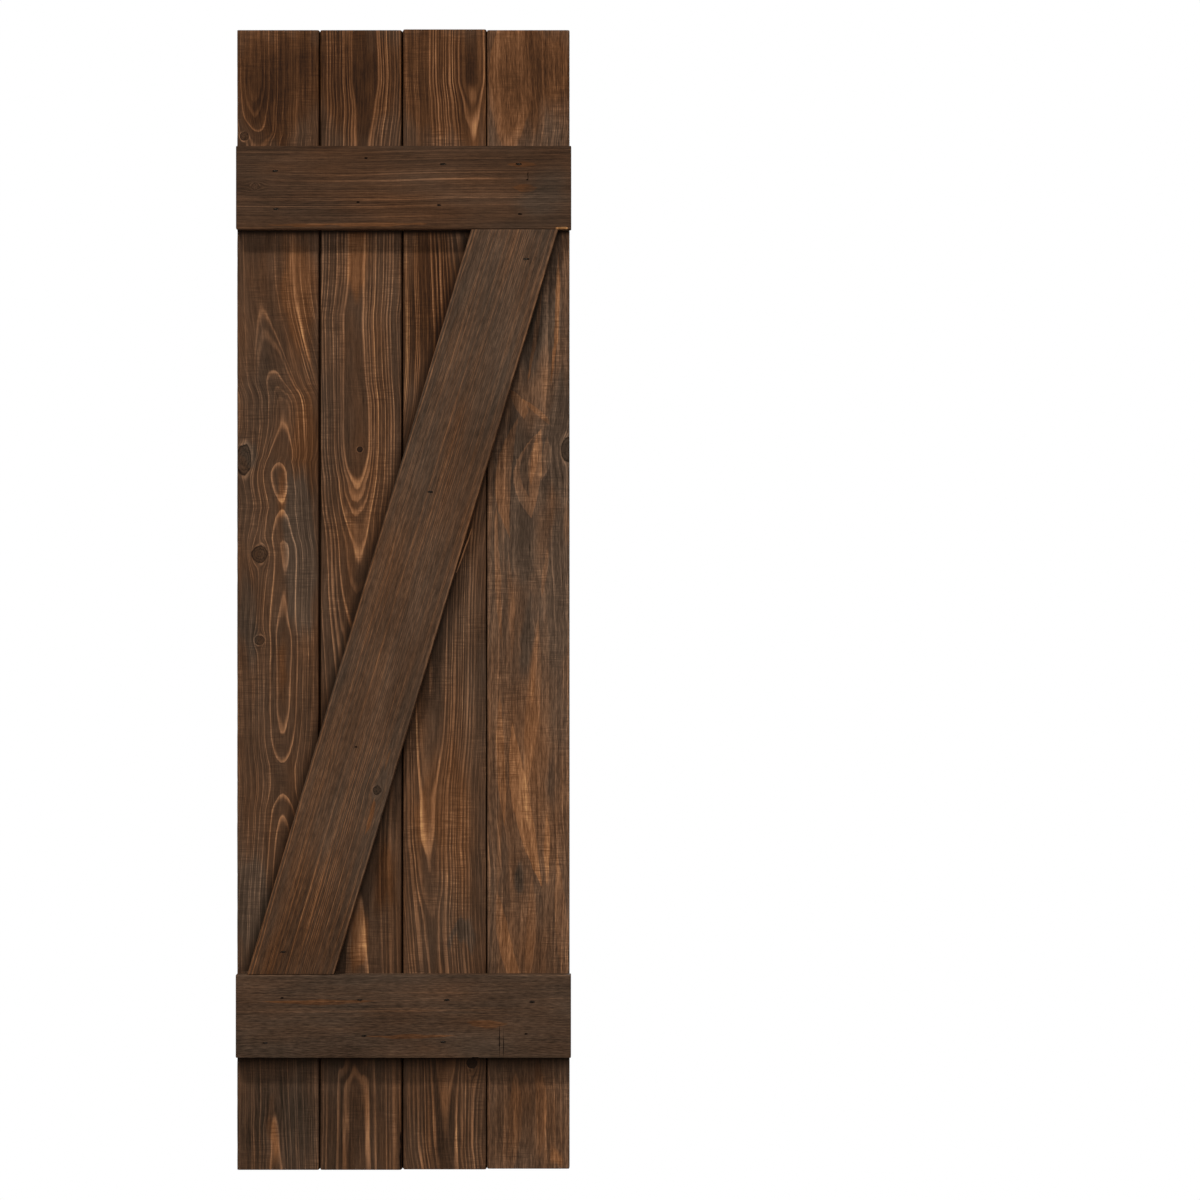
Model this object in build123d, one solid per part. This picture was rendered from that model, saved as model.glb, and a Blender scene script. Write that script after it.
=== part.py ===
from build123d import *
import math
import os

# A board-and-batten shutter with a diagonal brace, made of planed one-by-four lumber, in millimetres.
# X runs to the right as seen from the front, the face looks along -Y and Z is up.
# The origin is on the flat back, in the middle of the panel, where the back meets the wall.

# Vertical boards, from left to right as seen from the front
board_names = ("left_outer_board", "left_inner_board", "right_inner_board", "right_outer_board")
board_widths = (88.4, 88.4, 90.2, 88.6)
board_thickness = 19.05
board_length = 1219.2
top_end_steps = (0.0, 0.0, 0.8, 0.0)  # how far each top end stands above the panel's nominal end
bottom_end_steps = (0.0, 0.0, 0.5, 1.2)  # how far each bottom end stops above the panel's nominal end

# Joints between the boards: they touch along a square land at the back and stand open on the face,
# because the face side has dried and shrunk more
joint_openings = (1.4, 2.3, 1.2)
joint_land = 7.0
board_arris = 1.1
board_end_arris = 0.7

# Battens, laid level across the face
batten_width = 88.9
batten_thickness = 19.05
batten_extra_length = 1.6  # how much longer than the panel is wide
top_margin = 125.5  # from the panel's top end down to the top batten
bottom_margin = 121.5  # from the panel's bottom end up to the bottom batten
top_batten_shift = 1.1  # both battens are nailed on a little to the right
bottom_batten_shift = 0.8
batten_arris = 1.3
batten_end_arris = 0.8

# Diagonal brace, from the lower left to the upper right
brace_width = 88.9
brace_thickness = 19.05
brace_inset = 11.7  # from the panel's side edge to the brace's outer corner
brace_end_gap = 0.2  # between each level end cut and the batten it seats against
brace_arris = 1.3
brace_end_arris = 0.5

panel_width = sum(board_widths)
panel_left = -panel_width / 2
batten_length = panel_width + batten_extra_length
top_batten_height = board_length / 2 - top_margin - batten_width / 2  # of its middle
bottom_batten_height = -board_length / 2 + bottom_margin + batten_width / 2


def eased_plank(section, length, end_arris):
    """A plank along Z from a section whose corners are already eased, with both sawn ends eased."""
    plank = extrude(section, amount=length)
    plank = fillet(plank.faces().sort_by(Axis.Z)[-1].edges(), end_arris)
    return fillet(plank.faces().sort_by(Axis.Z)[0].edges(), end_arris)


def board_section(width, left_relief, right_relief):
    """Outline in X and Y, back edge on Y = 0, whose sides lean in from the land to the face."""
    outline = Polyline(
        (0, 0),
        (width, 0),
        (width, -joint_land),
        (width - right_relief, -board_thickness),
        (left_relief, -board_thickness),
        (0, -joint_land),
        close=True,
    )
    section = make_face(outline)
    back_corners = section.vertices().group_by(Axis.Y)[-1]
    face_corners = section.vertices().group_by(Axis.Y)[0]
    return fillet(back_corners + face_corners, board_arris)


def vertical_board(index):
    """One board in its place, with half of each neighbouring joint's opening taken off its face edge."""
    left_relief = joint_openings[index - 1] / 2 if index > 0 else 0
    right_relief = joint_openings[index] / 2 if index < len(joint_openings) else 0
    section = board_section(board_widths[index], left_relief, right_relief)
    bottom = -board_length / 2 + bottom_end_steps[index]
    top = board_length / 2 + top_end_steps[index]
    left = panel_left + sum(board_widths[:index])
    return Pos(left, 0, bottom) * eased_plank(section, top - bottom, board_end_arris)


def batten(height, shift):
    """A level plank across the boards' face, built along Z and laid over so that it runs along X."""
    section = RectangleRounded(batten_width, batten_thickness, batten_arris)
    plank = eased_plank(section, batten_length, batten_end_arris)
    middle_of_thickness = -board_thickness - batten_thickness / 2
    laid_over = Pos(-batten_length / 2, 0, 0) * Rot(0, 90, 0) * plank
    return Pos(shift, middle_of_thickness, height) * laid_over


def diagonal_brace():
    """The brace: a plank leaned until it just fills its span, then cut level at both ends."""
    span = panel_width - 2 * brace_inset
    low = bottom_batten_height + batten_width / 2 + brace_end_gap
    high = top_batten_height - batten_width / 2 - brace_end_gap
    rise = high - low
    diagonal = math.hypot(span, rise)
    lean = math.acos(brace_width / diagonal) - math.atan2(rise, span)  # away from plumb
    section = RectangleRounded(brace_width, brace_thickness, brace_arris)
    plank = Pos(0, 0, -diagonal / 2) * extrude(section, amount=diagonal)
    middle_of_thickness = -board_thickness - brace_thickness / 2
    leaned = Pos(0, middle_of_thickness, (low + high) / 2) * Rot(0, math.degrees(lean), 0) * plank
    brace = split(leaned, bisect_by=Plane.XY.offset(high), keep=Keep.BOTTOM)
    brace = split(brace, bisect_by=Plane.XY.offset(low), keep=Keep.TOP)
    brace = fillet(brace.faces().sort_by(Axis.Z)[-1].edges(), brace_end_arris)
    return fillet(brace.faces().sort_by(Axis.Z)[0].edges(), brace_end_arris)


os.makedirs("parts", exist_ok=True)

for index, name in enumerate(board_names):
    export_step(vertical_board(index), f"parts/{name}.step")

export_step(batten(top_batten_height, top_batten_shift), "parts/top_batten.step")
export_step(batten(bottom_batten_height, bottom_batten_shift), "parts/bottom_batten.step")
export_step(diagonal_brace(), "parts/diagonal_brace.step")
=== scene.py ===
import math
import random
from functools import partial

import bmesh
import bpy
from mathutils import Euler, Matrix, Vector, noise


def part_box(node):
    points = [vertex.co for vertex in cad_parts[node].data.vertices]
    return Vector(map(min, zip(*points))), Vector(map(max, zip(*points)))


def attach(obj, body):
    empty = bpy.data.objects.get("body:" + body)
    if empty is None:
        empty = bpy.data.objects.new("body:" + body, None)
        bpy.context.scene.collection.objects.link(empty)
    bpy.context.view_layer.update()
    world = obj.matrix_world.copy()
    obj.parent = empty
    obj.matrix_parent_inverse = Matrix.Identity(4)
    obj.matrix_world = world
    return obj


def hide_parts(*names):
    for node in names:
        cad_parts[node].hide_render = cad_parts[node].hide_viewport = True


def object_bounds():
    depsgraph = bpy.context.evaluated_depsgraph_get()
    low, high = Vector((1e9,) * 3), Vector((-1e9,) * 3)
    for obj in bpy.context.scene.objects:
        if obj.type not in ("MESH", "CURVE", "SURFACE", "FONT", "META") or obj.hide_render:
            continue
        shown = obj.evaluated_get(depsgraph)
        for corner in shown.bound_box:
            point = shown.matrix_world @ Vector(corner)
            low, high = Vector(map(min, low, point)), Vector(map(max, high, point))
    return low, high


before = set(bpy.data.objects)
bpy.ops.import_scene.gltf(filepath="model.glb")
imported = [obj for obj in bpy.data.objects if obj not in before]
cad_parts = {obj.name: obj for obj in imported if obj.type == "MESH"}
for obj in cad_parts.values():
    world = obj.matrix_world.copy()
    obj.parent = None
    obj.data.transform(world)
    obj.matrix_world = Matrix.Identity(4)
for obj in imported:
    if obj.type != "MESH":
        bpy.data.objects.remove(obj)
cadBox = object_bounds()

# A board-and-batten shutter in dark-stained pine. Sizes in the dictionaries are millimetres.
# Every plank is drawn in its own coordinates first: across its width, deep from face to back, and
# along its grain. One turn about Y lays it upright, leaning or level.

mm = 0.001
body = "root"


def hexColour(text, alpha=1.0):
    # an sRGB hex value as the linear colour that Blender's sockets expect
    channels = [int(text[i:i + 2], 16) / 255 for i in (1, 3, 5)]
    linear = [c / 12.92 if c <= 0.04045 else ((c + 0.055) / 1.055) ** 2.4 for c in channels]
    return (*linear, alpha)


def addNode(tree, kind, inputs=(), **settings):
    # adds a node; kind is its type, alone or paired with settings that go with it; its inputs come by
    # order or by name, each a plain value, a node (for its first output) or a socket
    if not isinstance(kind, str):
        kind, paired = kind
        settings = {**paired, **settings}
    node = tree.nodes.new(kind)
    for name, value in settings.items():
        setattr(node, name, value)
    for key, value in inputs.items() if isinstance(inputs, dict) else enumerate(inputs):
        if isinstance(value, bpy.types.Node):
            value = value.outputs[0]
        if isinstance(value, bpy.types.NodeSocket):
            tree.links.new(value, node.inputs[key])
        else:
            node.inputs[key].default_value = value
    return node


def newGroup(name, kind, inputs, outputs):
    # an empty node group, whose inputs and outputs give the kind of each named socket, and the
    # function that adds nodes to it
    group = bpy.data.node_groups.new(name, kind)
    for side, sockets in (("INPUT", inputs), ("OUTPUT", outputs)):
        for socketName, socketKind in sockets.items():
            group.interface.new_socket(socketName, in_out=side, socket_type=socketKind)
    return group, partial(addNode, group)


def newMaterial(name):
    # a material with no nodes, and the function that adds nodes to it
    material = bpy.data.materials.new(name)
    material.use_nodes = True
    material.node_tree.nodes.clear()
    return material, partial(addNode, material.node_tree)


def addObject(name, data):
    added = bpy.data.objects.new(name, data)
    bpy.context.collection.objects.link(added)
    return added


number, direction = "NodeSocketFloat", "NodeSocketVector"
# types of nodes, most of them paired with the setting that says what they do
groupNode, rangeNode, separate, combine = (
    "ShaderNode" + word for word in ("Group", "MapRange", "SeparateXYZ", "CombineXYZ")
)
(
    plus, minus, times, over, timesPlus, squareRoot, absolute, isMore, isLess, lesser, greater, fractionOf,
    floorOf, sine,
) = (
    ("ShaderNodeMath", {"operation": word})
    for word in (
        "ADD", "SUBTRACT", "MULTIPLY", "DIVIDE", "MULTIPLY_ADD", "SQRT", "ABSOLUTE", "GREATER_THAN",
        "LESS_THAN", "MINIMUM", "MAXIMUM", "FRACT", "FLOOR", "SINE",
    )
)
vectorMinus, vectorTimes, vectorOver, vectorTimesPlus, vectorLength, dotProduct = (
    ("ShaderNodeVectorMath", {"operation": word})
    for word in ("SUBTRACT", "MULTIPLY", "DIVIDE", "MULTIPLY_ADD", "LENGTH", "DOT_PRODUCT")
)
smoothRange, smootherRange = (
    (rangeNode, {"interpolation_type": word}) for word in ("SMOOTHSTEP", "SMOOTHERSTEP")
)
openRange = (rangeNode, {"clamp": False})
noise4, noise1 = (("ShaderNodeTexNoise", {"noise_dimensions": word}) for word in ("4D", "1D"))
mixColours = ("ShaderNodeMix", {"data_type": "RGBA"})


def knotFlowGroup():
    # grain parts around a knot as water parts around a post; the group gives that sideways push and
    # how far a point is from the knot, counted in knot radii
    names = ("Across", "Deep", "Along", "CentreAcross", "CentreAlong", "Radius", "Stretch", "Tallness")
    outputs = {"Push": number, "Reach": number}
    group, add = newGroup("knotFlow", "ShaderNodeTree", dict.fromkeys(names, number), outputs)
    given = add("NodeGroupInput").outputs
    knotSlant = 0.12  # how far a knot leans sideways on its way to the back
    slant = add(times, (given["Deep"], knotSlant))
    aside = add(minus, (given["Across"], given["CentreAcross"]))
    offset = add(minus, (aside, slant))
    rise = add(minus, (given["Along"], given["CentreAlong"]))
    longRise = add(over, (rise, given["Stretch"]))
    tallRise = add(over, (rise, given["Tallness"]))
    offset2, rise2, radius2, tallRise2 = (
        add(times, (length, length)) for length in (offset, longRise, given["Radius"], tallRise)
    )
    away2 = add(plus, (offset2, rise2))
    softAway2 = add(timesPlus, (radius2, 0.25, away2))
    share = add(over, (radius2, softAway2))
    push = add(times, (offset, share))
    round2 = add(plus, (offset2, tallRise2))
    distance = add(squareRoot, (round2,))
    reach = add(over, (distance, given["Radius"]))
    add("NodeGroupOutput", (push, reach))
    return group


def softPatchGroup():
    # a soft-edged oval, 1 in its middle and 0 outside, for where the wood is darker or lighter
    inputs = dict.fromkeys(("Place", "Centre", "Share"), direction)
    group, add = newGroup("softPatch", "ShaderNodeTree", inputs, {"Patch": number})
    given = add("NodeGroupInput").outputs
    shifted = add(vectorMinus, (given["Place"], given["Centre"]))
    scaled = add(vectorTimes, (shifted, given["Share"]))
    size = add(vectorLength, (scaled,)).outputs["Value"]
    fade = add(smootherRange, (size, 1.0, 0.1, 0.0, 1.0))
    add("NodeGroupOutput", (fade,))
    return group


def paintedCornerShadeGroup():
    # 1 along a straight line on the boards and fading to 0 within a width on one side of it, for the
    # painted shade in the corner where a board meets the edge of a plank nailed over it
    inputs = {"Place": direction, "Outward": direction, "Offset": number, "Width": number, "Reach": number}
    group, add = newGroup("paintedCornerShade", "ShaderNodeTree", inputs, {"PaintedShade": number})
    given = add("NodeGroupInput").outputs
    level = add(dotProduct, (given["Place"], given["Outward"])).outputs["Value"]
    away = add(minus, (level, given["Offset"]))
    share = add(over, (away, given["Width"]))
    fade = add(smoothRange, (share, 0.0, 1.0, 1.0, 0.0))
    fade2 = add(times, (fade, fade))
    underPlank = -0.045  # metres, half a plank's width: the painted shade doesn't reach past its far edge
    outside = add(isMore, (away, underPlank))
    stainAndShade = add(times, (fade2, outside))
    height = add(separate, (given["Place"],)).outputs["Z"]
    height = add(absolute, (height,))
    within = add(isLess, (height, given["Reach"]))
    stainAndShade = add(times, (stainAndShade, within))
    add("NodeGroupOutput", (stainAndShade,))
    return group


def flameGroup():
    # a tongue where the saw ran flat through one ring: pointed at both ends, bowed to one side and
    # ragged along its edges; 1 inside
    names = (
        "Across", "Along", "Ragged", "TopAcross", "TopAlong", "EndAcross", "EndAlong", "Bow", "HalfWidth",
    )
    group, add = newGroup("flame", "ShaderNodeTree", dict.fromkeys(names, number), {"Flame": number})
    given = add("NodeGroupInput").outputs
    share = add(openRange, (given["Along"], given["EndAlong"], given["TopAlong"], 0.0, 1.0))
    middle = add(openRange, (share, 0.0, 1.0, given["EndAcross"], given["TopAcross"]))
    rest = add(minus, (1.0, share))
    product = add(times, (share, rest))
    hump = add(times, (product, 4.0))
    middle = add(timesPlus, (given["Bow"], hump, middle))
    away = add(minus, (given["Across"], middle))
    away = add(absolute, (away,))
    width = add(timesPlus, (given["HalfWidth"], hump, given["Ragged"]))
    inside = add(minus, (width, away))
    fade = add(smoothRange, (inside, 0.0, 1.0, 0.0, 1.0))
    add("NodeGroupOutput", (fade,))
    return group


knotFlow = knotFlowGroup()
flame = flameGroup()
softPatch = softPatchGroup()
paintedCornerShade = paintedCornerShadeGroup()

# Flat-sawn pine, planed and wiped with a dark walnut stain: the soft early wood drinks the stain and
# goes dark brown, the hard late wood stays as thin amber lines that arch where the saw cut across the
# rings; each list runs from dark to light, one towards orange and one towards olive grey
warmStain = ("#150a04", "#2d190b", "#442914", "#59381f", "#724b2e", "#8c603f", "#ab7a50", "#c69461")
greyStain = ("#140d07", "#291f15", "#3d2f24", "#4f3e31", "#66503f", "#82654f", "#a07d61", "#c09772")
alongReach = 700.0  # mm, what 1 stands for along the grain in the curves of the heart
sideReach = 100.0  # mm, what 1 stands for across and in depth

warmingSpread = 1.3  # how strongly the wood turns redder and greyer
raggedness = 4.5  # mm, how far the tongues' edges stray
swellShare = 0.45  # of a soft patch, so that a swell fades out well beyond its half width
fibreSize = (1.4, 3.0)  # mm across and deep
poreSize = (0.9, 1.6, 9)
poreTone = -0.07

# a thin line's place in its spacing, where it rises and where it falls
thinRise, thinFall = (0.3, 0.7), (0.8, 0.97)

# a knot: places in knot radii from its middle, and gains in tone
knotLook = {
    "uneven": (0.5, 0.25),  # how far slow and quick noise push its outline
    "rim": (1.55, 1.12),  # where the light rim fades in
    "rimGain": (0.02, 0.24),  # least and most
    "edge": (1.08, 0.98),
    "rings": 17.0,  # radians of their wave in one knot radius
    "ringGain": 0.05,
    "fibreGain": 0.4,
    "outline": (0.72, 1.0),  # where it turns dark
    "outlineGain": -0.13,
    "crackGain": -0.16,
}

# the patterns that make up the wood: size of one grain across, deep and along in mm, and detail
woodPatterns = {
    "wander": ((50, 50, 150), 1.0),  # the slow sideways wander of the grain
    "tremble": ((6, 6, 50), 2.0),  # its small unsteadiness
    "fading": ((12, 12, 110), 1.0),  # how the bright lines come and go
    "ripples": ((16, 16, 1.15), 1.0),  # marks of the planer's knives, every 2.3 mm
    "rippled": ((30, 30, 45), 1.0),  # where those marks show
    "blotches": ((26, 26, 90), 3.0),  # uneven stain
    "drift": ((22, 22, 60), 2.0),  # bends the outline of the stain's patches
    "warming": ((30, 30, 130), 2.0),  # where the stain is redder or greyer
    "ragged": ((3, 3, 24), 2.0),  # the edges of the broad tongues
    "checks": ((4, 4, 5), 1.0),  # the small cracks across a knot
}


def stainedPine(name, look):
    material, add = newMaterial(name)
    seed = look["seed"]

    # the plank's own coordinates, in millimetres
    place = add("ShaderNodeTexCoord").outputs["Object"]
    mapping = {"Location": look["centre"], "Rotation": (0, look["turn"], 0), "Scale": (mm, mm, mm)}
    local = add("ShaderNodeMapping", {"Vector": place, **mapping}, vector_type="TEXTURE")
    across, deep, along = add(separate, (local,)).outputs
    made = {}
    for index, (patternName, (size, detail)) in enumerate(woodPatterns.items()):
        scaled = add(vectorOver, (local, size))
        noiseMade = add(noise4, (scaled, seed + index * 2.3, 1.0, detail, 0.55))
        made[patternName] = add(minus, (noiseMade, 0.5))
        made[patternName + "Colour"] = noiseMade.outputs["Color"]

    # the grain wanders, and parts around each knot
    flow = add(timesPlus, (made["wander"], look["wander"], across))
    nearest = None
    for centreAcross, centreAlong, radius, stretch, tallness in look["knots"]:
        inputs = (across, deep, along, centreAcross, centreAlong, radius, stretch, tallness)
        knot = add(groupNode, inputs, node_tree=knotFlow).outputs
        flow = add(minus, (flow, knot["Push"]))
        reach = knot["Reach"]
        nearest = add(lesser, (nearest, reach)) if nearest else reach

    # the heart of the tree: where it lies across the plank and how deep behind the face, along the grain
    reach = add(over, (along, alongReach))
    twice = add(combine, (reach, reach, 0.0))
    heart = add("ShaderNodeVectorCurve", {"Vector": twice})
    for index in (0, 1):
        curve = heart.mapping.curves[index]
        points = sorted((point[0] / alongReach, point[index + 1] / sideReach) for point in look["heart"])
        curve.points[0].location = points[0]
        curve.points[1].location = points[-1]
        for point in points[1:-1]:
            curve.points.new(*point)
        for point in curve.points:
            point.handle_type = "AUTO_CLAMPED"
    heart.mapping.update()
    heartAcross, heartDeep, _ = add(separate, (heart,)).outputs
    aside = add(timesPlus, (heartAcross, -sideReach, flow))
    behindFace = add(plus, (deep, look["thickness"] / 2))
    depth = add(timesPlus, (heartDeep, sideReach, behindFace))
    aside2 = add(times, (aside, aside))
    radius2 = add(timesPlus, (depth, depth, aside2))
    radius = add(squareRoot, (radius2,))
    for swellAcross, swellAlong, halfWidth, halfLength, lift in look["swells"]:
        share = (swellShare / halfWidth, 0, swellShare / halfLength)
        inputs = (local, (swellAcross, 0, swellAlong), share)
        swell = add(groupNode, inputs, node_tree=softPatch)
        radius = add(timesPlus, (swell, lift, radius))
    radius = add(timesPlus, (made["tremble"], look["tremble"], radius))

    # late wood: a soft start and a sharp end to every ring
    ringReach = look["rings"][-1][0] + 4  # mm, what 1 stands for in the curve of the rings
    share = add(over, (radius, ringReach))
    rings = add("ShaderNodeFloatCurve", {"Value": share})
    curve = rings.mapping.curves[0]
    curve.points[0].location = (0.0, 0.0)
    curve.points[1].location = (1.0, 0.0)
    lastEnd = 0.0
    for end, width, strength in look["rings"]:
        start = max(end - width * 0.8, lastEnd + 0.1)
        fall = min(0.25, 0.25 * width)
        middle = start + (end - start) * 0.4
        for spot, height in ((start, 0.0), (middle, strength * 0.6), (end - fall, strength), (end, 0.0)):
            curve.points.new(spot / ringReach, height)
        lastEnd = end
    for point in curve.points:
        point.handle_type = "VECTOR"
    rings.mapping.update()

    # thin lines between them, each with its own strength, stronger where the saw cut across the rings
    thin = add(timesPlus, (made["tremble"], 1.2, radius))
    thin = add(over, (thin, look["thinSpacing"]))
    uneven = add(noise1, {"W": thin, "Scale": 0.6, "Detail": 0.0})
    thin = add(timesPlus, (uneven, 1.6, thin))
    fraction = add(fractionOf, (thin,))
    rise = add(smoothRange, (fraction, *thinRise, 0.0, 1.0))
    fall = add(smoothRange, (fraction, *thinFall, 1.0, 0.0))
    whole = add(floorOf, (thin,))
    lineNumber = add(plus, (whole, seed * 3.7))
    luck = add("ShaderNodeTexWhiteNoise", {"W": lineNumber}, noise_dimensions="1D")
    thinGain = look["thinGain"]
    for centreAcross, centreAlong, halfWidth, halfLength, gain in look["stripes"]:
        inputs = (local, (centreAcross, 0, centreAlong), (1 / halfWidth, 0, 1 / halfLength))
        patch = add(groupNode, inputs, node_tree=softPatch)
        thinGain = add(timesPlus, (patch, gain, thinGain))
    strength = add(times, (luck, thinGain))
    profile = add(times, (rise, fall))
    thinLine = add(times, (profile, strength))
    bothLines = add(greater, (rings, thinLine))
    fading = add(rangeNode, (made["fading"], -0.14, 0.1, 0.6, 1.0))
    line = add(times, (bothLines, fading))

    # fibres and pores follow the grain
    flowPlace = add(combine, (aside, deep, along))
    fibrePlace = add(vectorOver, (flowPlace, (*fibreSize, look["fibreLength"])))
    fibres = add(noise4, (fibrePlace, seed + 31, 1.0, 3.0, 0.7))
    fibres = add(minus, (fibres, 0.5))
    porePlace = add(vectorOver, (flowPlace, poreSize))
    pores = add(noise4, (porePlace, seed + 37, 1.0, 2.0, 0.6))
    speckle = add(minus, (pores, 0.5))
    pores = add(smoothRange, (pores, 0.62, 0.72, 0.0, 1.0))

    # how dark and how red the wood is: (where, gain in tone, gain in warmth)
    driftAcross, driftAlong = 22, 90  # mm, how far the patches' outlines wander
    drifted = add(vectorTimesPlus, (made["driftColour"], (driftAcross, 0, driftAlong), local))
    stains = [(fibres, look["fibre"], 0), (made["blotches"], look["blotch"], 0)]
    stains.append((made["warming"], 0, warmingSpread))
    # patches 560 mm up and down from a board's middle darken it towards both ends
    for centreAcross, centreAlong, halfWidth, halfLength, *gains in look["patches"]:
        centre = (centreAcross + driftAcross / 2, 0, centreAlong + driftAlong / 2)
        inputs = (drifted, centre, (1 / halfWidth, 0, 1 / halfLength))
        stains.append((add(groupNode, inputs, node_tree=softPatch), *gains))
    ragged = add(times, (made["ragged"], raggedness))
    for top, end, bow, halfWidth, *gains in look["flames"]:
        inputs = (across, along, ragged, *top, *end, bow, halfWidth)
        stains.append((add(groupNode, inputs, node_tree=flame), *gains))
    stains.append((line, look["lineGain"], look["lineWarmth"]))
    stains += [(pores, poreTone, 0), (speckle, look["speckle"], 0)]
    tone, warmth = look["tone"], look["warmth"]
    for where, gain, warming in stains:
        if gain:
            tone = add(timesPlus, (where, gain, tone))
        if warming:
            warmth = add(timesPlus, (where, warming, warmth))
    rippled = add(smoothRange, (made["rippled"], -0.05, 0.12, 0.15, 1.0))
    ripples = add(times, (made["ripples"], rippled))
    ripplesHere = add(timesPlus, (ripples, look["ripple"], 1.0))
    tone = add(times, (tone, ripplesHere))

    # knots: close rings and small cracks inside a dark outline, with an uneven light rim around it
    if nearest:
        uneven = nearest
        for patternName, gain in zip(("tremble", "checks"), knotLook["uneven"]):
            uneven = add(timesPlus, (made[patternName], gain, uneven))
        rim, inKnot, outline = (
            add(smoothRange, (uneven, *knotLook[part], 0.0, 1.0)) for part in ("rim", "edge", "outline")
        )
        rimGain = add(rangeNode, (made["fading"], -0.1, 0.1, *knotLook["rimGain"]))
        tone = add(timesPlus, (rim, rimGain, tone))
        wave = add(times, (uneven, knotLook["rings"]))
        wave = add(sine, (wave,))
        cracks = add(absolute, (made["checks"],))
        cracks = add(smoothRange, (cracks, 0.0, 0.035, 1.0, 0.0))
        knotTone = look["knotTone"]
        for part, gain in (
            (wave, "ringGain"), (fibres, "fibreGain"), (outline, "outlineGain"), (cracks, "crackGain"),
        ):
            knotTone = add(timesPlus, (part, knotLook[gain], knotTone))
        tone = add("ShaderNodeMix", {0: inKnot, 2: tone, 3: knotTone})

    # painted shade darkens the corners under the battens and beside the brace, on the face only
    if look["corners"]:
        onFace = add(smoothRange, (behindFace, 1.0, 5.0, 1.0, 0.0))
    for outward, offset, width, reach, gain in look["corners"]:
        stainAndShade = add(groupNode, (place, outward, offset, width, reach), node_tree=paintedCornerShade)
        stainAndShade = add(times, (stainAndShade, onFace))
        kept = add(timesPlus, (stainAndShade, -gain, 1.0))
        tone = add(times, (tone, kept))

    # light lines along edges of the battens and the brace: partly rubbed wood, partly a painted highlight
    # where an edge catches the light
    for edge, gain in look["rubbedAndLitEdges"]:
        fromEdge = add(minus, (across, edge))
        fromEdge = add(absolute, (fromEdge,))
        rubbedAndLitLip = add(smoothRange, (fromEdge, 1.6, 0.7, 0.0, gain))
        lipShows = add(smoothRange, (made["fading"], -0.1, 0.1, 0.2, 1.0))
        tone = add(timesPlus, (rubbedAndLitLip, lipShows, tone))

    tints = []
    for stainAndShade in (greyStain, warmStain):
        ramp = add("ShaderNodeValToRGB", {"Fac": tone})
        stops = ramp.color_ramp.elements
        for index in range(1, len(stainAndShade) - 1):
            stops.new(index / (len(stainAndShade) - 1))
        for stop, colour in zip(stops, stainAndShade):
            stop.color = hexColour(colour)
        tints.append(ramp)
    redness = add(rangeNode, (warmth, 0.0, 1.0, 0.0, 1.0))
    colour = add(mixColours, {0: redness, 6: tints[0], 7: tints[1]}).outputs[2]

    relief = fibres
    for part, height in ((line, 0.7), (ripples, 0.5), (pores, -0.5)):
        relief = add(timesPlus, (part, height, relief))
    bump = add("ShaderNodeBump", {"Height": relief, "Distance": 0.25 * mm, "Strength": 0.7})
    inputs = {
        "Base Color": colour,
        "Roughness": add(rangeNode, (tone, 0.1, 0.8, 0.75, 0.6)),
        "Normal": bump,
        "IOR": 1.5,
        "Specular IOR Level": 0.1,
    }
    shader = add("ShaderNodeBsdfPrincipled", inputs)
    add("ShaderNodeOutputMaterial", {"Surface": shader})
    return material


def uprightPlace(node):
    low, high = (Vector(corner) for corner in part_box(node))
    return (low + high) / 2, high - low


arrisSteps = 4  # how many flats an eased corner has
arrisBulge = 0.42  # how far it stands out towards the sharp corner, as a share of the way


def edgeLoop(plank):
    # the section as points (across, deep) in mm, with close points on the face and eased corners
    halfWidth, halfThick = plank["width"] / 2, plank["thickness"] / 2
    leftRelief, rightRelief = plank["relief"]
    land = halfThick - plank["land"]
    corners = (
        ((-halfWidth + leftRelief, -halfThick), plank["arris"], plank["faceCell"]),
        ((halfWidth - rightRelief, -halfThick), plank["arris"], plank["sideCell"]),
        ((halfWidth, land), 0, plank["sideCell"]),
        ((halfWidth, halfThick), plank["arris"], plank["backCell"]),
        ((-halfWidth, halfThick), plank["arris"], plank["sideCell"]),
        ((-halfWidth, land), 0, plank["sideCell"]),
    )
    count = len(corners)
    loop = []
    for index, (corner, arris, cell) in enumerate(corners):
        here = Vector(corner)
        before = Vector(corners[index - 1][0])
        after = Vector(corners[(index + 1) % count][0])
        nextArris = corners[(index + 1) % count][1]
        if arris:
            start = here + (before - here).normalized() * arris
            end = here + (after - here).normalized() * arris
            for step in range(arrisSteps + 1):
                share = step / arrisSteps
                straight = start.lerp(end, share)
                bulge = (here - straight) * math.sin(math.pi * share) * arrisBulge
                loop.append(straight + bulge)
        else:
            loop.append(here)
        runStart = loop[-1]
        runEnd = after + (here - after).normalized() * nextArris
        cells = max(1, round((runEnd - runStart).length / cell))
        for step in range(1, cells):
            loop.append(runStart.lerp(runEnd, step / cells))
    return loop


# how a plank's skin has dried and worn, in mm
wear = {
    "waver": 0.35,  # how unevenly the open side of a joint has shrunk
    "waverLength": 70,
    "shrinkReach": 12.0,
    "hollow": 0.16,  # how uneven the planed face is
    "hollowWidth": 30,
    "hollowLength": 110,
    "rubbed": 0.35,  # how far a corner is rubbed down
    "rubLength": 16,
    "nicked": 0.6,  # how deep a nick in it goes
    "nickLength": 4.5,
    "nickRarity": 0.42,  # the noise that a nick has to pass
    "cornerReach": 2.2,
    "faceReach": 4,  # how far behind the face the wear fades out
}


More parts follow.
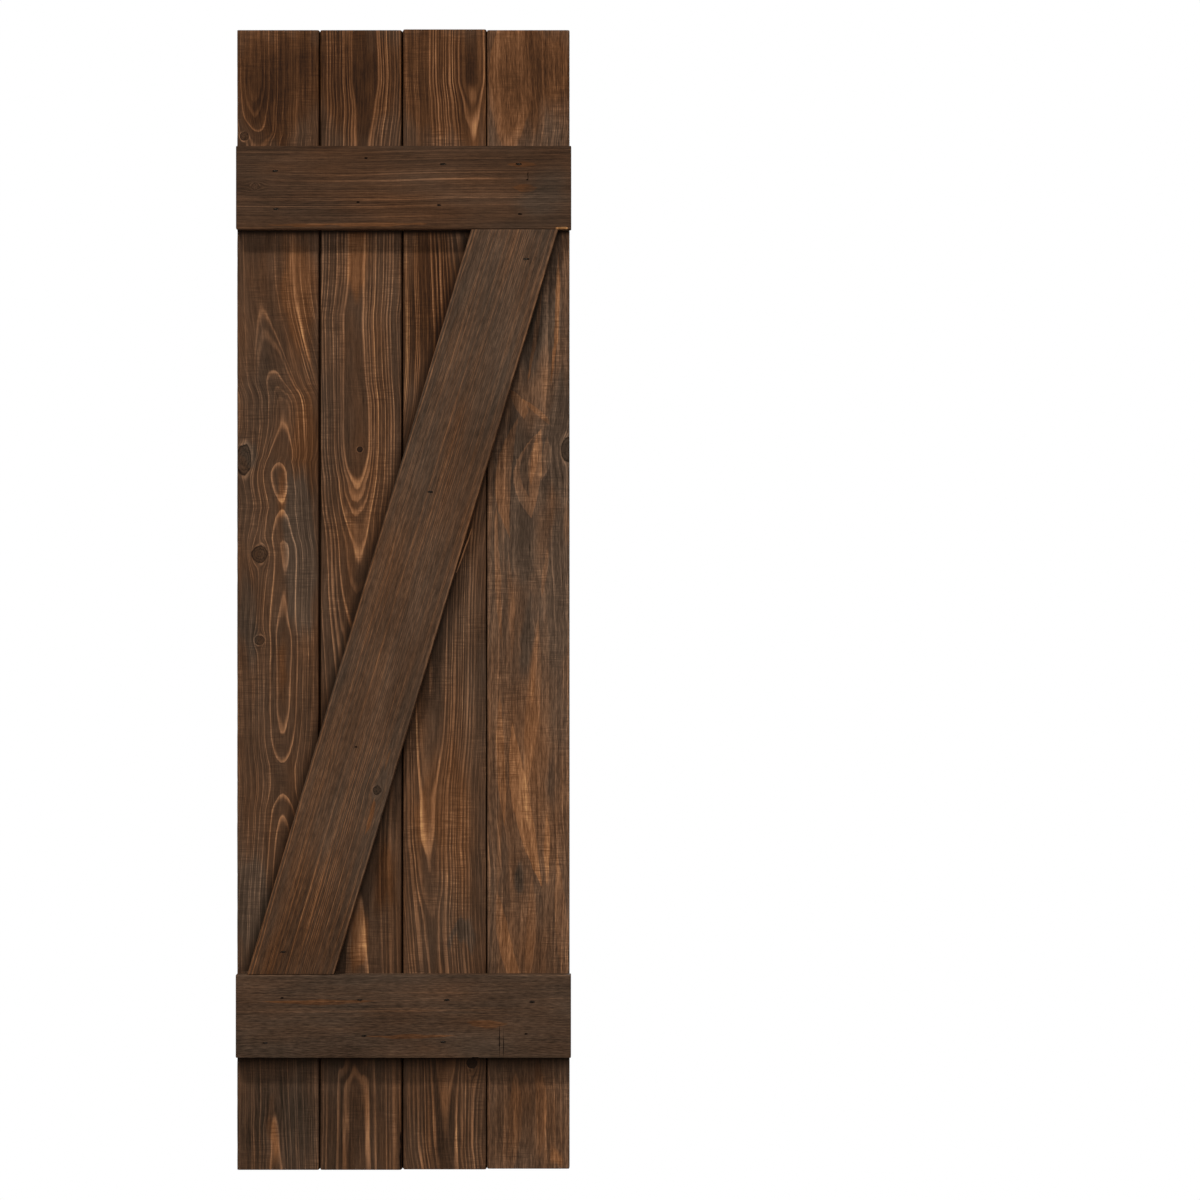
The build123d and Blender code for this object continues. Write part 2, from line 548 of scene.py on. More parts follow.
def wearAt(plank, across, deep, along):
    # how far a point of the skin has worn or shrunk inwards, as (across, deep) in mm
    halfWidth, halfThick = plank["width"] / 2, plank["thickness"] / 2
    seed = plank["seed"] * 10
    face = max(0.0, min(1.0, 1 - (deep + halfThick) / wear["faceReach"]))
    side = 1 if across > 0 else -1
    fromEdge = halfWidth - abs(across)
    sway = noise.noise(Vector((seed, side * 5, along / wear["waverLength"]))) * 0.5 + 0.5
    bow = plank["bow"][0 if side < 0 else 1] * max(0.0, math.cos(math.pi * along / plank["length"])) ** 0.5
    openness = max(0.0, min(1.0, (halfThick - plank["land"] - deep) / (plank["thickness"] - plank["land"])))
    reach = max(0.0, 1 - fromEdge / wear["shrinkReach"])
    hollowPlace = Vector((across / wear["hollowWidth"], seed, along / wear["hollowLength"]))
    hollow = noise.noise(hollowPlace) * 0.5 + 0.5
    corner = math.exp(-((fromEdge - plank["arris"]) / wear["cornerReach"]) ** 2) * face
    rub = max(0.0, noise.noise(Vector((seed + 3, side * 9, along / wear["rubLength"]))) + 0.15)
    nick = noise.noise(Vector((seed + 7, side * 4, along / wear["nickLength"])))
    nick = max(0.0, nick - wear["nickRarity"]) * 2.2
    lost = corner * (wear["rubbed"] * rub + wear["nicked"] * nick)
    inX = -side * (reach * openness * (wear["waver"] * sway + bow) + lost)
    return inX, face * wear["hollow"] * hollow + lost


def skin(mesh, rings):
    # faces between neighbouring rings of vertices, with a cap on the first and on the last
    count = len(rings[0])
    faces = []
    for lower, upper in zip(rings, rings[1:]):
        for index in range(count):
            after = (index + 1) % count
            faces.append(mesh.faces.new((lower[index], lower[after], upper[after], upper[index])))
    return faces + [mesh.faces.new(rings[0]), mesh.faces.new(rings[-1])]


def finishedMesh(mesh, name):
    bmesh.ops.recalc_face_normals(mesh, faces=mesh.faces)
    data = bpy.data.meshes.new(name)
    mesh.to_mesh(data)
    mesh.free()
    return data


def shadeEased(data):
    # smooth over the eased edges, sharp along cuts
    sharpest = math.radians(38)
    data.shade_smooth()
    data.set_sharp_from_angle(angle=sharpest)


def plankMesh(name, plank):
    # rings of the section along the grain, closed at both sawn ends; a level-cut brace has level rings
    loop = edgeLoop(plank)
    length, endArris = plank["length"], plank["endArris"]
    cells = round((length - 2 * endArris) / plank["alongCell"])
    half, easing = length / 2, endArris * 0.3
    # (along, how far the section is drawn in)
    stations = [(-half, endArris), (-half + easing, easing)]
    for step in range(cells + 1):
        stations.append((-half + endArris + (length - 2 * endArris) * step / cells, 0.0))
    stations += [(half - easing, easing), (half, endArris)]
    shear = math.tan(plank["lean"])
    mesh = bmesh.new()
    rings = []
    for along, inset in stations:
        shrinkX = 1 - inset / (plank["width"] / 2)
        shrinkY = 1 - inset / (plank["thickness"] / 2)
        ring = []
        for point in loop:
            across, deep = point.x * shrinkX, point.y * shrinkY
            wornX, wornY = wearAt(plank, across, deep, along)
            spot = ((across + wornX) * mm, (deep + wornY) * mm, (along + across * shear) * mm)
            ring.append(mesh.verts.new(spot))
        rings.append(ring)
    skin(mesh, rings)
    data = finishedMesh(mesh, name)
    data.transform(Matrix.Translation(plank["centre"]) @ Euler((0, plank["turn"], 0)).to_matrix().to_4x4())
    shadeEased(data)
    return addObject(name, data)


noise.seed_set(7)  # without a seed noise_vector starts from the clock, and every run differs


def raggedOutline(points, step, jitter, seed):
    # the closed outline with a point about every step, pushed about by noise; all in mm
    ragged = []
    for here, after in zip(points, points[1:] + points[:1]):
        here, after = Vector(here), Vector(after)
        cells = max(1, round((after - here).length / step))
        for index in range(cells):
            spot = here.lerp(after, index / cells)
            push = noise.noise_vector(Vector((spot.x / step / 1.7, spot.y / step / 1.7, seed))).to_2d()
            ragged.append(spot + push * jitter)
    return ragged


def wedge(mesh, plank, outline, depth, bottomShare, anchor, materialIndex):
    # a closed wedge that stands in front of the face and narrows towards its bottom at the anchor;
    # outline and anchor are (x, z) in mm on the shutter
    face = plank["centre"].y - plank["thickness"] / 2 * mm
    anchor = Vector(anchor)
    standOff = 0.6 * mm
    rows = []
    for y, share in ((face - standOff, 1.0), (face + depth * mm, bottomShare)):
        spots = [anchor + (spot - anchor) * share for spot in outline]
        rows.append([mesh.verts.new((spot.x * mm, y, spot.y * mm)) for spot in spots])
    for made in skin(mesh, rows):
        made.material_index = materialIndex


# the slot that a staple sinks into, in mm for a full-size one
slotShape = {"halfLong": 3.4, "halfHigh": 1.3, "depth": 1.9, "bottom": 0.8, "corners": 12, "slant": 8}
crackBottom = 0.9  # share of a crack's width left at its bottom


def cutPlank(piece, plank):
    # sinks the staple slots and cracks and breaks off the chips, each with its own inner finish
    draws = random.Random(round(plank["seed"] * 100))
    mesh = bmesh.new()
    for x, z, size in plank["staples"]:
        opened = 0.4 + 0.6 * size
        halfLong, halfHigh = slotShape["halfLong"] * size, slotShape["halfHigh"] * opened
        slant = math.radians(draws.uniform(-slotShape["slant"], slotShape["slant"]))
        outline = []
        for index in range(slotShape["corners"]):
            angle = math.tau * index / slotShape["corners"] + slant
            swell = draws.uniform(0.8, 1.15)
            shape = Vector((math.cos(angle) * halfLong * swell, math.sin(angle) * halfHigh * swell))
            outline.append(Vector((x, z)) + shape)
        wedge(mesh, plank, outline, slotShape["depth"] * opened, slotShape["bottom"], (x, z), 0)
    for points, width, depth in plank["cracks"]:
        points = [Vector(spot) for spot in points]
        left, right = [], []
        for index, spot in enumerate(points):
            run = points[min(index + 1, len(points) - 1)] - points[max(index - 1, 0)]
            side = Vector((-run.y, run.x)).normalized()
            taper = 0.12 + math.sin(math.pi * index / (len(points) - 1))
            half = width / 2 * taper * draws.uniform(0.7, 1.2)
            left.append(spot + side * half)
            right.append(spot - side * half)
        middle = sum(points, Vector((0, 0))) / len(points)
        wedge(mesh, plank, left + right[::-1], depth, crackBottom, middle, 0)
    for points, step, jitter, depth, bottomShare, anchor, finish in plank["chips"]:
        outline = raggedOutline(points, step, jitter, plank["seed"])
        wedge(mesh, plank, outline, depth, bottomShare, anchor, finish)
    data = finishedMesh(mesh, "cutter")
    for material in (paintedShadeHole, bareSplit):
        data.materials.append(material)
    cutter = addObject("cutter", data)
    boolean = piece.modifiers.new("cut", "BOOLEAN")
    boolean.operation = "DIFFERENCE"
    boolean.solver = "MANIFOLD"
    boolean.material_mode = "TRANSFER"
    boolean.object = cutter
    evaluated = piece.evaluated_get(bpy.context.evaluated_depsgraph_get())
    cutData = bpy.data.meshes.new_from_object(evaluated)
    piece.modifiers.clear()
    piece.data = cutData
    piece.data.name = piece.name
    bpy.data.objects.remove(cutter)
    shadeEased(piece.data)


def plainWood(name, dark, light, roughness, size, gain):
    # wood with no stain pattern of its own: streaks of two shades, with the size of one streak in mm
    material, add = newMaterial(name)
    place = add("ShaderNodeTexCoord").outputs["Object"]
    scaled = add(vectorOver, (place, [axis * mm for axis in size]))
    streak = add(noise4, (scaled, 2.0, 1.0, 3.0, 0.6))
    share = add(smoothRange, (streak, 0.35, 0.65, 0.0, 1.0))
    colour = add(mixColours, {0: share, 6: hexColour(dark), 7: hexColour(light)})
    bump = add("ShaderNodeBump", {"Height": streak, "Distance": gain * mm, "Strength": 0.8})
    inputs = {"Base Color": colour.outputs[2], "Roughness": roughness, "Normal": bump}
    inputs["Specular IOR Level"] = 0.1
    shader = add("ShaderNodeBsdfPrincipled", inputs)
    add("ShaderNodeOutputMaterial", {"Surface": shader})
    return material


# Torn pine inside the slots, cracks and dark chips, painted nearly black for the shade down in them: dull
paintedShadeHole = plainWood("tornPineInPaintedShade", "#0a0604", "#1d120b", 0.9, (3, 1, 1), 0.3)
# Bare pine where a splinter broke off after staining: pale orange, split along its fibres
bareSplit = plainWood("bareSplitPine", "#a36c3c", "#dca66f", 0.7, (9, 1.2, 0.8), 0.4)


def galvanisedWire():
    # Galvanised steel wire, drawn and then dulled by stain: dark grey with a soft metal shine
    material, add = newMaterial("galvanisedWireDulled")
    spotSize = 1.2 * mm
    place = add("ShaderNodeTexCoord").outputs["Object"]
    scaled = add(vectorOver, (place, (spotSize, spotSize, spotSize)))
    spots = add(noise4, (scaled, 4.0, 1.0, 3.0, 0.6))
    share = add(smoothRange, (spots, 0.35, 0.7, 0.0, 1.0))
    colour = add(mixColours, {0: share, 6: hexColour("#17120e"), 7: hexColour("#5f564c")})
    roughness = add(rangeNode, (spots, 0.3, 0.7, 0.55, 0.35))
    inputs = {"Base Color": colour.outputs[2], "Roughness": roughness, "Metallic": 0.9}
    shader = add("ShaderNodeBsdfPrincipled", inputs)
    add("ShaderNodeOutputMaterial", {"Surface": shader})
    return material


wire = {
    "Crown Width": 5.2 * mm,  # narrow-crown staples, of which only the crown shows
    "Wire Width": 1.0 * mm,
    "Leg Length": 6.0 * mm,
    "Slant": 0.12,  # radians either way
    "Seed": 5,
}


def stapleTree():
    # one staple, legs pointing into the wood, set on every point of the input mesh
    inputs = {
        "Geometry": "NodeSocketGeometry",
        **dict.fromkeys(("Crown Width", "Wire Width", "Leg Length", "Slant"), number),
        "Seed": "NodeSocketInt",
        "Steel": "NodeSocketMaterial",
    }
    tree, add = newGroup("stapleRow", "GeometryNodeTree", inputs, {"Geometry": "NodeSocketGeometry"})
    given = add("NodeGroupInput").outputs
    # four points: leg end, crown, crown, leg end
    line = add("GeometryNodeMeshLine", {"Count": 4})
    index = add("GeometryNodeInputIndex")
    onRight = add(isMore, (index, 1.5))
    side = add(minus, (onRight, 0.5))
    x = add(times, (side, given["Crown Width"]))
    fromMiddle = add(minus, (index, 1.5))
    fromMiddle = add(absolute, (fromMiddle,))
    isEnd = add(isMore, (fromMiddle, 1.0))
    y = add(times, (isEnd, given["Leg Length"]))
    spot = add(combine, (x, y, 0.0))
    bent = add("GeometryNodeSetPosition", {"Geometry": line, "Position": spot})
    path = add("GeometryNodeMeshToCurve", (bent,))
    bend = add(times, (given["Wire Width"], 0.7))
    inputs = {"Curve": path, "Count": 3, "Radius": bend}
    fillet = add("GeometryNodeFilletCurve", inputs, mode="POLY")
    half = add(times, (given["Wire Width"], 0.5))
    profile = add("GeometryNodeCurvePrimitiveCircle", {"Resolution": 8, "Radius": half})
    sweep = {"Curve": fillet, "Profile Curve": profile, "Fill Caps": True}
    staple = add("GeometryNodeCurveToMesh", sweep)
    least = add(times, (given["Slant"], -1.0))
    draw = add("FunctionNodeRandomValue", data_type="FLOAT")
    for name, value in (("Min", least.outputs[0]), ("Max", given["Slant"]), ("Seed", given["Seed"])):
        tree.links.new(value, [s for s in draw.inputs if s.name == name and s.enabled][0])
    turned = [s for s in draw.outputs if s.enabled][0]
    rotation = add(combine, (0.0, turned, 0.0))
    row = {"Points": given["Geometry"], "Instance": staple, "Rotation": rotation}
    row = add("GeometryNodeInstanceOnPoints", row)
    real = add("GeometryNodeRealizeInstances", (row,))
    rounded = add("GeometryNodeSetShadeSmooth", (real,))
    steel = add("GeometryNodeSetMaterial", {"Geometry": rounded, "Material": given["Steel"]})
    add("NodeGroupOutput", (steel,))
    return tree


def stapleRow(spots):
    # the staples of the whole shutter as one plain mesh; spots are (x, y, z) in metres
    data = bpy.data.meshes.new("staples")
    data.from_pydata(spots, [], [])
    piece = addObject("staples", data)
    modifier = piece.modifiers.new("stapleRow", "NODES")
    modifier.node_group = stapleTree()
    values = {**wire, "Steel": galvanisedWire()}
    for item in modifier.node_group.interface.items_tree:
        if item.in_out == "INPUT" and item.name in values:
            modifier[item.identifier] = values[item.name]
    evaluated = piece.evaluated_get(bpy.context.evaluated_depsgraph_get())
    made = bpy.data.meshes.new_from_object(evaluated)
    piece.modifiers.clear()
    piece.data = made
    return piece


# What all planks share, unless a plank's own table says otherwise
plankStock = {
    "arris": 1.2,
    "endArris": 0.8,
    "faceCell": 2.4,  # size of the mesh's cells on the face
    "sideCell": 3.5,
    "backCell": 8.0,
    "alongCell": 3.0,
    "land": 7.0,  # how far in from the back a joint is closed
    "bow": (0.0, 0.0),  # how much more each edge has shrunk at half its length
    "relief": (0.0, 0.0),  # how far each edge leans in from the land to the face
    "lean": 0.0,
    "turn": 0.0,
    "wander": 2.5,
    "tremble": 0.8,
    "thinSpacing": 2.9,
    "thinGain": 0.75,
    "lineGain": 0.55,  # gains are in tone, where 0 is black and 1 the lightest amber
    "lineWarmth": 0.4,
    "ripple": 0.85,
    "fibre": 0.55,
    "fibreLength": 40.0,
    "speckle": 0.3,
    "tone": 0.355,
    "warmth": 0.45,
    "blotch": 0.38,
    "knotTone": 0.31,
    "patches": (),
    "stripes": (),
    "flames": (),
    "corners": (),
    "rubbedAndLitEdges": (),
    "staples": (),
    "cracks": (),
    "chips": (),
    "swells": (),
    "knots": (),
}

# What each plank's table holds, all in mm:
# heart: (along, across, depth behind the face), where the tree's middle ran beside the plank
# rings: (radius where the ring ends, width of its late wood, strength)
# knots: (across, along, radius, how long the grain takes to close again, tallness)
# swells: (across, along, half width, half length, lift), for rings that close on themselves
# patches: (across, along, half width, half length, gain in tone, gain in warmth)
# stripes: (across, along, half width, half length, gain), where the thin lines are stronger
# flames: (across, along) of the top and of the bottom, bow, half width, gain in tone, gain in warmth
# lips: (across, gain) of an edge drawn lighter, partly rubbed wood and partly a painted highlight
# staples: (x, z, size) on the shutter; a small one is an empty slot
# cracks: points (x, z), width, depth
# chips: outline of points (x, z), step and jitter of its ragged edge, depth, share of it left at the
# bottom, the point it narrows to, and 0 for the near-black painted shade of the slots or 1 for bare wood
leftOuterBoard = {
    "node": "left_outer_board",
    "seed": 1.3,
    "relief": (0.0, 0.7),
    "bow": (0.0, 0.8),
    "heart": (
        (609, -25, 22.8), (560, -25, 22.5), (535, -25, 23.4), (520, -25, 24.6), (511, -24, 25.5),
        (504, -23, 26.6), (497, -22, 28.2), (490, -22, 30.2), (440, -22, 33), (395, -21, 34),
        (345, -20, 34.2), (318, -18, 33.5), (290, -14, 32), (260, -9, 29), (235, -4, 26),
        (205, 4, 22.4), (190, 4, 22), (175, 3, 20.7), (165, 2, 19.2), (152, 0, 17), (146, -2, 16.3),
        (135, -2, 14), (120, -0.5, 14.5), (107, 1, 16.2), (99, 1.5, 16.7), (90, 1, 15.4),
        (80, 1, 14), (70, 1, 12.2), (55, 3, 9.6), (30, 4, 10.6), (22, 4, 10.95), (0, 3.5, 10.4),
        (-20, 3, 9.2), (-45, 4, 6.4), (-60, 4.7, 6.8), (-100, 4.7, 7.8), (-115, 4.5, 8.1),
        (-130, 4.5, 9.5), (-145, 4, 10.95), (-165, 4, 14.5), (-183, 4.5, 17.4), (-195, 5, 17.4),
        (-205, 5, 16.7), (-215, 5, 14.6), (-225, 5, 11.6), (-240, 5, 9.2), (-258, 4.5, 7),
        (-285, 3, 6), (-340, -2, 12), (-400, -6, 19), (-490, -5, 22.8), (-520, -4.5, 22.9),
        (-545, -4, 22.4), (-563, -4.2, 21.7), (-590, -3.2, 21.5), (-609, -2.8, 21.1),
    ),
    "rings": (
        (10.95, 1.9, 0.9), (16.7, 1.9, 0.95), (22.4, 1.3, 0.9), (27.6, 1.1, 0.7), (33.5, 1.1, 0.7),
        (38.6, 1, 0.6), (43.5, 1, 0.5), (48, 0.9, 0.5), (52, 0.9, 0.4), (56, 0.9, 0.5),
        (60, 0.9, 0.4), (64, 0.9, 0.5),
    ),
    "knots": (
        (-36, 150, 8, 1.6, 2), (-19, 49, 8.6, 1.6, 1), (-19, -43, 5, 1.6, 1),
        (-35, 496, 4.5, 1.6, 1),
    ),
    "patches": (
        (22, 330, 30, 90, 0.04, 0.7), (28, 150, 22, 110, 0, 0.7), (24, 60, 26, 130, 0.04, -1.6),
        (-30, 150, 12, 28, -0.08, -1), (4, -70, 9, 70, 0.06, 0.6), (-30, -320, 25, 80, -0.03, -1.2),
        (0, 560, 80, 90, -0.19, 1), (0, -560, 80, 90, -0.15, -0.3), (-5, -575, 9, 45, 0.14, 0.8),
        (4, 110, 8, 40, 0.1, 0.5), (-32, -20, 14, 90, -0.03, -0.6),
    ),
    "stripes": ((26, 280, 24, 160, 0.7), (0, -580, 60, 40, 0.3)),
    "thinSpacing": 2.5,
    "thinGain": 0.4,
}
leftInnerBoard = {
    "node": "left_inner_board",
    "seed": 2.9,
    "relief": (0.7, 1.15),
    "bow": (0.8, 0.0),
    "heart": (
        (609, 3.5, 21.9), (560, 4.5, 21.2), (530, 4.5, 23.1), (500, 2.2, 24.1), (487, 1.5, 24.5),
        (440, -3, 24.4), (395, -4.5, 24), (350, -5, 24.2), (330, -6, 24), (318, -7, 23.7),
        (300, -8.5, 23.4), (280, -8, 23.3), (240, -7, 22.8), (205, -5.2, 21.7), (165, -5, 22.2),
        (140, -4.5, 24), (127, -3.7, 25.4), (116, -4, 26.2), (95, -4, 28.6), (80, -3, 30),
        (60, -2.5, 31.4), (33, -2.5, 32.4), (0, -4, 35.3), (-30, -4, 37.5), (-70, -4, 39.8),
        (-150, -4, 43), (-240, -4, 45.8), (-300, -4, 46.45), (-340, -4, 45.6), (-380, -4, 44.9),
        (-400, -4, 44.5), (-450, -4.5, 43), (-490, -5, 42), (-540, -5, 41.5), (-609, -5, 41),
    ),
    "rings": (
        (26.2, 1.5, 0.95), (32.4, 1.4, 1), (38.3, 1.2, 0.95), (46.5, 1.9, 0.8), (52.8, 1.2, 0.7),
        (58, 1.1, 0.6), (62.5, 1, 0.6), (66, 1, 0.5), (70, 1, 0.5),
    ),
    "knots": ((0, 161, 3, 1.5, 1),),
    "swells": (
        (-15, -492, 6, 15, 2.6), (1, -492, 6, 15, 2.6),
    ),
    "chips": (
        (
            ((-3.6, -566), (-4.6, -574), (-3.4, -584), (-5, -596), (-4.2, -612), (2, -612), (2, -566)),
            2.5, 0.7, 3.5, 0.4, (1.5, -590), 0,
        ),
    ),
    "patches": (
        (-5, 370, 13, 65, 0.2, 0.9), (0, 90, 40, 160, 0.02, 0.2), (-3, -360, 14, 50, 0.24, 1.6),
        (25, -300, 18, 60, -0.1, 0.6), (0, 560, 80, 90, -0.14, 1), (0, -560, 80, 90, -0.1, 0),
    ),
    "stripes": ((0, 560, 60, 80, 0.3), (0, -570, 60, 60, 0.4)),
    "tone": 0.31,
    "lineGain": 0.6,
    "knotTone": 0.12,
}
rightInnerBoard = {
    "node": "right_inner_board",
    "seed": 4.1,
    "stripes": ((0, 560, 60, 90, 0.7), (-20, 300, 60, 160, 0.9), (0, -570, 60, 60, 0.6)),
    "knotTone": 0.16,
    "relief": (1.15, 0.6),
    "heart": (
        (609, 29, 20.7), (580, 28.7, 20.5), (555, 28.7, 20.6), (543, 29, 21.9), (530, 29.5, 23.1),
        (515, 29.5, 23.85), (505, 30, 24.5), (492, 30, 24.9), (486, 30, 25.1), (440, 28, 27),
        (395, 25, 29), (345, 25, 31.7), (300, 25, 33.5), (240, 23, 35), (205, 20, 35.5),
        (130, 5, 30), (60, -8, 22), (0, -13, 17.5), (-60, -14, 18.3), (-100, -14.5, 18.4),
        (-130, -15, 19.2), (-150, -15.5, 20), (-180, -17, 21.9), (-205, -18, 23.3),
        (-230, -18, 23.6), (-250, -18, 23.9), (-262, -18, 24.3), (-275, -17, 24.8),
        (-293, -16, 25.05), (-345, -14, 27.5), (-400, -10, 28), (-450, -3, 28.8), (-495, 2.5, 30),
        (-520, 1.5, 31.1), (-548, 1, 31.7), (-577, 1, 32.1), (-609, 4, 32.8),
    ),
    "rings": (
        (25, 1.7, 1), (32.1, 1.2, 0.95), (38.8, 1.1, 0.9), (42.4, 0.9, 0.6), (46.8, 0.9, 0.7),
        (51.4, 0.8, 0.6), (55, 0.8, 0.6), (58.5, 0.8, 0.5), (62, 0.8, 0.6), (65.5, 0.8, 0.5),
        (69, 0.8, 0.6), (72.5, 0.8, 0.5),
    ),
    "knots": ((30.5, -496, 5.5, 2.5, 1),),
    "patches": (
        (30, 515, 10, 40, 0.1, 0.5), (-14, 310, 55, 140, -0.22, 0.5), (-22, -235, 8, 50, 0.14, 0.5),
        (20, -358, 20, 14, -0.12, -1.2), (0, 560, 80, 90, -0.13, 1), (0, -560, 80, 90, -0.13, 0),
        (4, -230, 56, 130, 0.06, 0.4),
    ),
}
rightOuterBoard = {
    "node": "right_outer_board",
    "seed": 5.7,
    "tone": 0.44,
    "warmth": 0.3,
    "stripes": ((0, -570, 60, 60, 0.6), (10, 290, 60, 110, 0.7)),
    "fibre": 0.6,
    "speckle": 0.7,
    "relief": (0.6, 0.0),
    "heart": (
        (609, -20.5, 41), (560, -19.7, 41.1), (530, -18.5, 41.2), (510, -18.5, 41.5),
        (498, -19, 42.2), (487, -19.5, 43.2), (440, -12, 46.5), (395, 2, 47.5), (340, 6, 47.5),
        (260, 6, 47.5), (140, 2, 47.5), (60, 0, 47.5), (0, 1, 46.5), (-20, 0, 46), (-30, 0, 45),
        (-60, 0, 44.6),
        (-100, -1, 44.1), (-150, -2, 43.7), (-220, -2, 43.7), (-255, 0, 44.1), (-280, 1, 44.7),
        (-292, 2, 45), (-330, 1, 45.6), (-400, -2, 45.2), (-490, -4, 44.6), (-540, -3, 44.4),
        (-609, -3, 44.2),
    ),
    "rings": (
        (45, 3, 0.12), (49.5, 1.4, 0.25), (54.6, 1.4, 0.5), (59, 1.2, 0.5), (63, 1.1, 0.6), (67, 1, 0.5),
        (71, 1, 0.5),
    ),
    "knots": ((46, 160, 9, 1.6, 1.6),),
    "thinGain": 0.45,
    "flames": (
        ((-18, 640), (-20, 470), 0, 24, 0.09, 0.3), ((-20, 226), (-4, 192), 3, 7, 0.12, 0.4),
        ((-8, 216), (26, 184), 2, 5, 0.1, 0.4),
        ((-10, 196), (-19, 64), -12, 9, 0.12, 0.5), ((14, 182), (4, 86), -10, 15, 0.2, 0.5),
        ((10, 178), (2, 108), -9, 6, -0.14, -0.3), ((10, 175), (3, 121), -1, 5.5, 0.14, 0.3),
        ((20, 176), (14, 127), 3, 5.5, 0.16, 0.3), ((26, 186), (31, 128), 2, 2.5, 0.08, 0.2),
        ((-34, 110), (-27, -60), -2, 3.5, 0.12, 0.4), ((-22, 60), (-18, -70), 2, 4, 0.07, 0.2),
        ((11, -14), (-4, -210), 2, 8, 0.08, 0.2), ((12, -20), (4, -120), -1, 3, 0.1, 0.2),
        ((-30, -96), (-24, -250), -2, 5, 0.12, 0.4), ((-17, -130), (15, -308), -6, 10, 0.18, 0.7),
        ((-8, -196), (16, -330), -3, 2.5, -0.09, 0), ((6, -150), (10, -262), 1, 2, -0.07, 0),
        ((20, -225), (20, -310), 0, 3.6, 0.14, 0.4), ((31, -270), (40, -420), 0, 7, 0.09, 0.3),
        ((-32, -310), (0, -440), -7, 8, 0.13, 0.4), ((4, -296), (-2, -420), 2, 6, 0.08, 0.2),
        ((-31, -180), (-34, -330), 2, 3, 0.07, 0.2), ((22, 60), (14, 0), 0, 3, 0.11, 0.3),
        ((32, 380), (24, 230), 3, 3, 0.13, 0.8), ((16, 340), (-2, 225), 1, 3, 0.13, 0.8),
        ((-14, -500), (-20, -620), 3, 8, 0.08, 0.2), ((8, -480), (12, -600), 4, 6, 0.08, 0.2),
    ),
    "patches": (
        (0, 560, 80, 90, -0.12, 1), (35, 160, 24, 90, -0.1, -1), (5, 300, 44, 90, -0.17, -0.6),
        (-2, 140, 46, 90, -0.13, -0.4),
        (34, 20, 18, 110, -0.09, -0.9), (-2, -45, 11, 60, -0.1, -0.6), (-10, -300, 11, 30, -0.16, -0.8),
        (27, -190, 12, 60, -0.06, -0.4), (30, -585, 12, 22, 0.18, 0.6), (0, -560, 80, 90, -0.1, 0.2),
        (-6, 60, 24, 70, -0.07, -0.6), (0, -230, 66, 210, 0.05, 0.4), (0, -400, 60, 90, 0.03, 0.3),
    ),
}
topBatten = {
    "node": "top_batten",
    "seed": 7.3,
    "turn": math.pi / 2,
    "heart": ((180, -52, 12.0), (60, -51, 12.0), (-60, -49, 12.0), (-180, -50, 12.0)),
    "rings": (
        (24.2, 0.9, 0.4), (29.2, 1, 0.7), (34, 0.8, 0.3), (39.8, 0.9, 0.4), (45, 0.8, 0.3),
        (51, 0.9, 0.5), (57.3, 1, 0.6), (62.3, 1.1, 0.9), (71.1, 1.2, 1), (76, 0.8, 0.3),
    ),
    "knots": ((0, -158, 4.0, 2.0, 1.0),),
    "staples": (
        (-135.9, 457.1, 1), (-134.8, 416.6, 0.9), (-38.9, 470.9, 0.6), (-47.4, 424, 0.6),
        (43.1, 464.5, 1), (38.9, 420.8, 0.8), (124.1, 464.5, 1), (125.2, 411.2, 0.7),
    ),
    "cracks": (
        (((133.9, 457.5), (133.4, 454), (133.8, 450), (133, 446.5)), 0.9, 1.5),
        (((135, 449), (133, 448), (131, 448.5)), 0.8, 1),
    ),
    "chips": (
        (
            ((161.6, 396.8), (163.5, 398.1), (176, 398.3), (177.6, 397), (177.6, 394), (161.6, 394)),
            2, 0.5, 3, 0.3, (169.5, 393.6), 1,
        ),
        (
            (
                (-176, 396.4), (-150, 396.2), (-120, 396.8), (-96, 396.4), (-74, 396.6), (-74, 394),
                (-176, 394),
            ),
            3, 0.5, 1.6, 0.3, (-125, 393), 0,
        ),
    ),
    "stripes": ((0, 0, 40, 220, 0.4),),
    "flames": (
        ((38.5, 34), (39, -108), 1, 2.4, 0.15, 0.9), ((40, -60), (40.5, -150), 0, 1.8, 0.1, 0.8),
        ((-24, 142), (-25, 110), 0, 3, 0.06, 0.5), ((0, 144), (0, 116), 1, 5, 0.05, 0.5),
    ),
    "patches": ((4, 150, 40, 45, -0.02, -0.5),),
    "rubbedAndLitEdges": ((43.6, 0.16),),
    "lineGain": 0.42,
    "thinSpacing": 2.2,
    "thinGain": 0.35,
    "ripple": 0.15,
    "fibre": 0.42,
    "fibreLength": 90.0,
    "speckle": 0.38,
    "lineWarmth": 0.2,
    "tone": 0.28,
    "warmth": 0.48,
}
